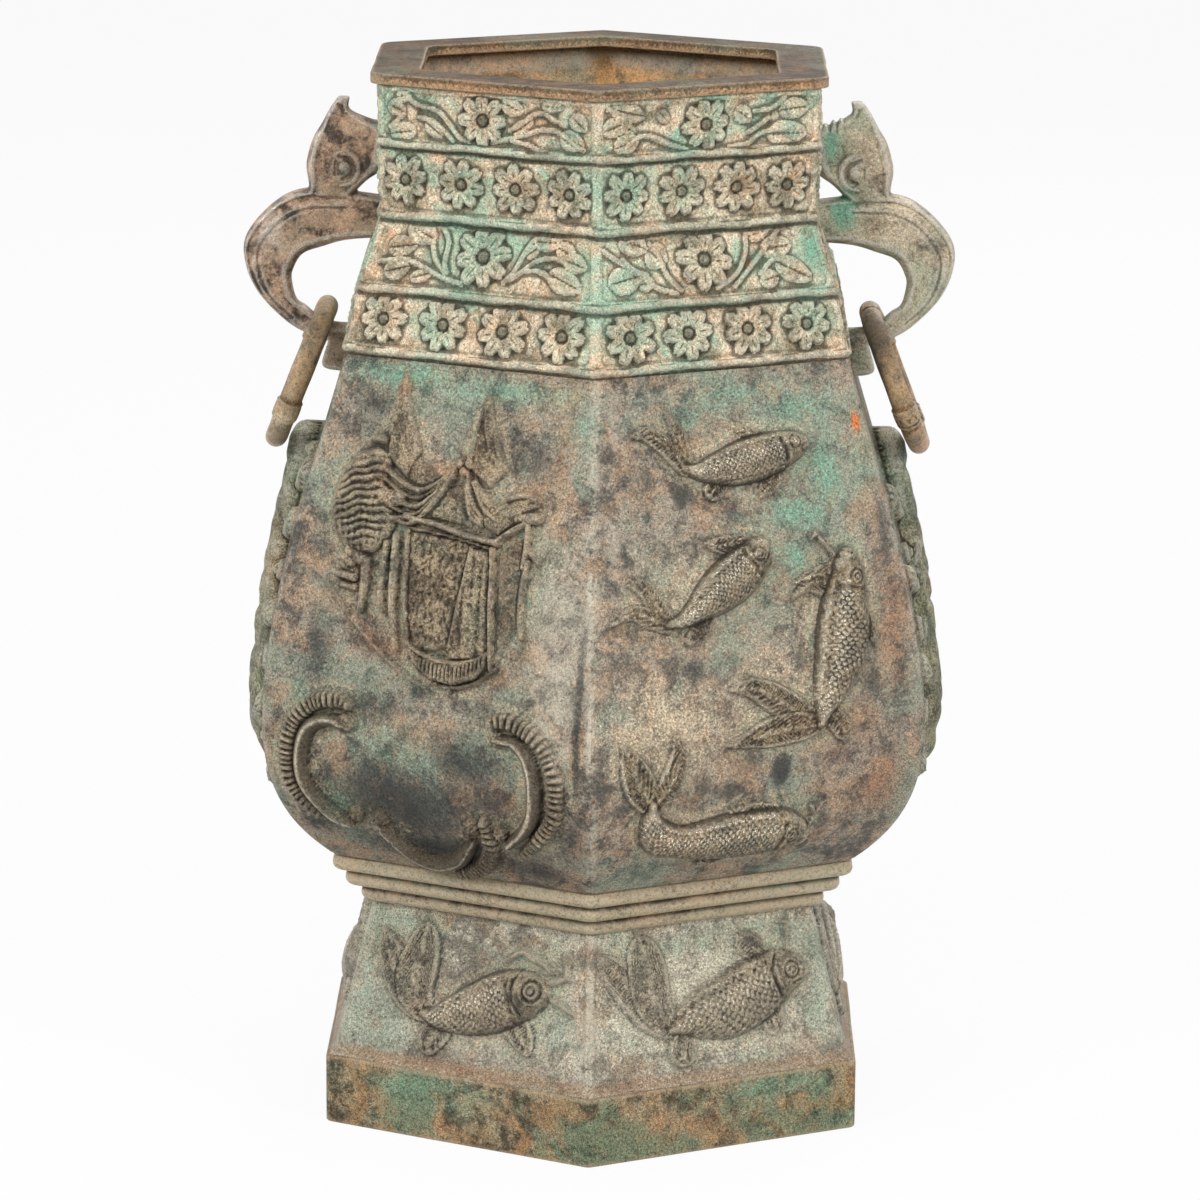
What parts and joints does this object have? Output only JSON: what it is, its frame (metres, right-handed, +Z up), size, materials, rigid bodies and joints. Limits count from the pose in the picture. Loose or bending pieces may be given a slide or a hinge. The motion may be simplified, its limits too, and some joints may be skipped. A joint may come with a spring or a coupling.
{
  "type": "bronze vase",
  "caption": "Archaistic bronze flower vase of hexagonal section with relief panels, beast-head handles and loose rings, on a flared foot and plinth.",
  "frame": {"origin": "centre of the plinth's underside, where the vase stands", "axes": "+Z up; the front ridge of the hexagon towards -Y; the flat side faces with their handles towards +X and -X"},
  "size_m": [0.3076, 0.2936, 0.459],
  "materials": {
    "lip_plate": "smooth worn grey-brown bronze",
    "neck_section": "cast bronze with pale verdigris in the ground",
    "belly_section": "cast bronze, dark brown patina with tan and verdigris",
    "floor_plate": "rough cast bronze",
    "foot_section": "cast bronze with grey-tan patina",
    "plinth_band": "cast bronze, mottled olive-brown patina",
    "handle_left": "cast bronze, brown patina worn on the edges",
    "handle_right": "cast bronze, paler grey-tan patina",
    "ring_left": "cast bronze, brown patina with rust spots",
    "ring_right": "cast bronze, brown patina with rust spots"
  },
  "bodies": {
    "vessel": {"lip_plate": "lip_plate", "neck_section": "neck_section", "belly_section": "belly_section", "floor_plate": "floor_plate", "foot_section": "foot_section", "plinth_band": "plinth_band", "handle_left": "handle_left", "handle_right": "handle_right"},
    "ring_left": {"ring_left": "ring_left"},
    "ring_right": {"ring_right": "ring_right"}
  },
  "joints": [
    {"name": "ring_right_swing", "type": "hinge", "parent": "vessel", "child": "ring_right", "pos_m": [0.1175, 0, 0.3501], "axis": [0, -1, 0], "range_deg": [0, 140]},
    {"name": "ring_left_swing", "type": "hinge", "parent": "vessel", "child": "ring_left", "pos_m": [-0.1175, 0, 0.3501], "axis": [0, 1, 0], "range_deg": [0, 140]}
  ]
}
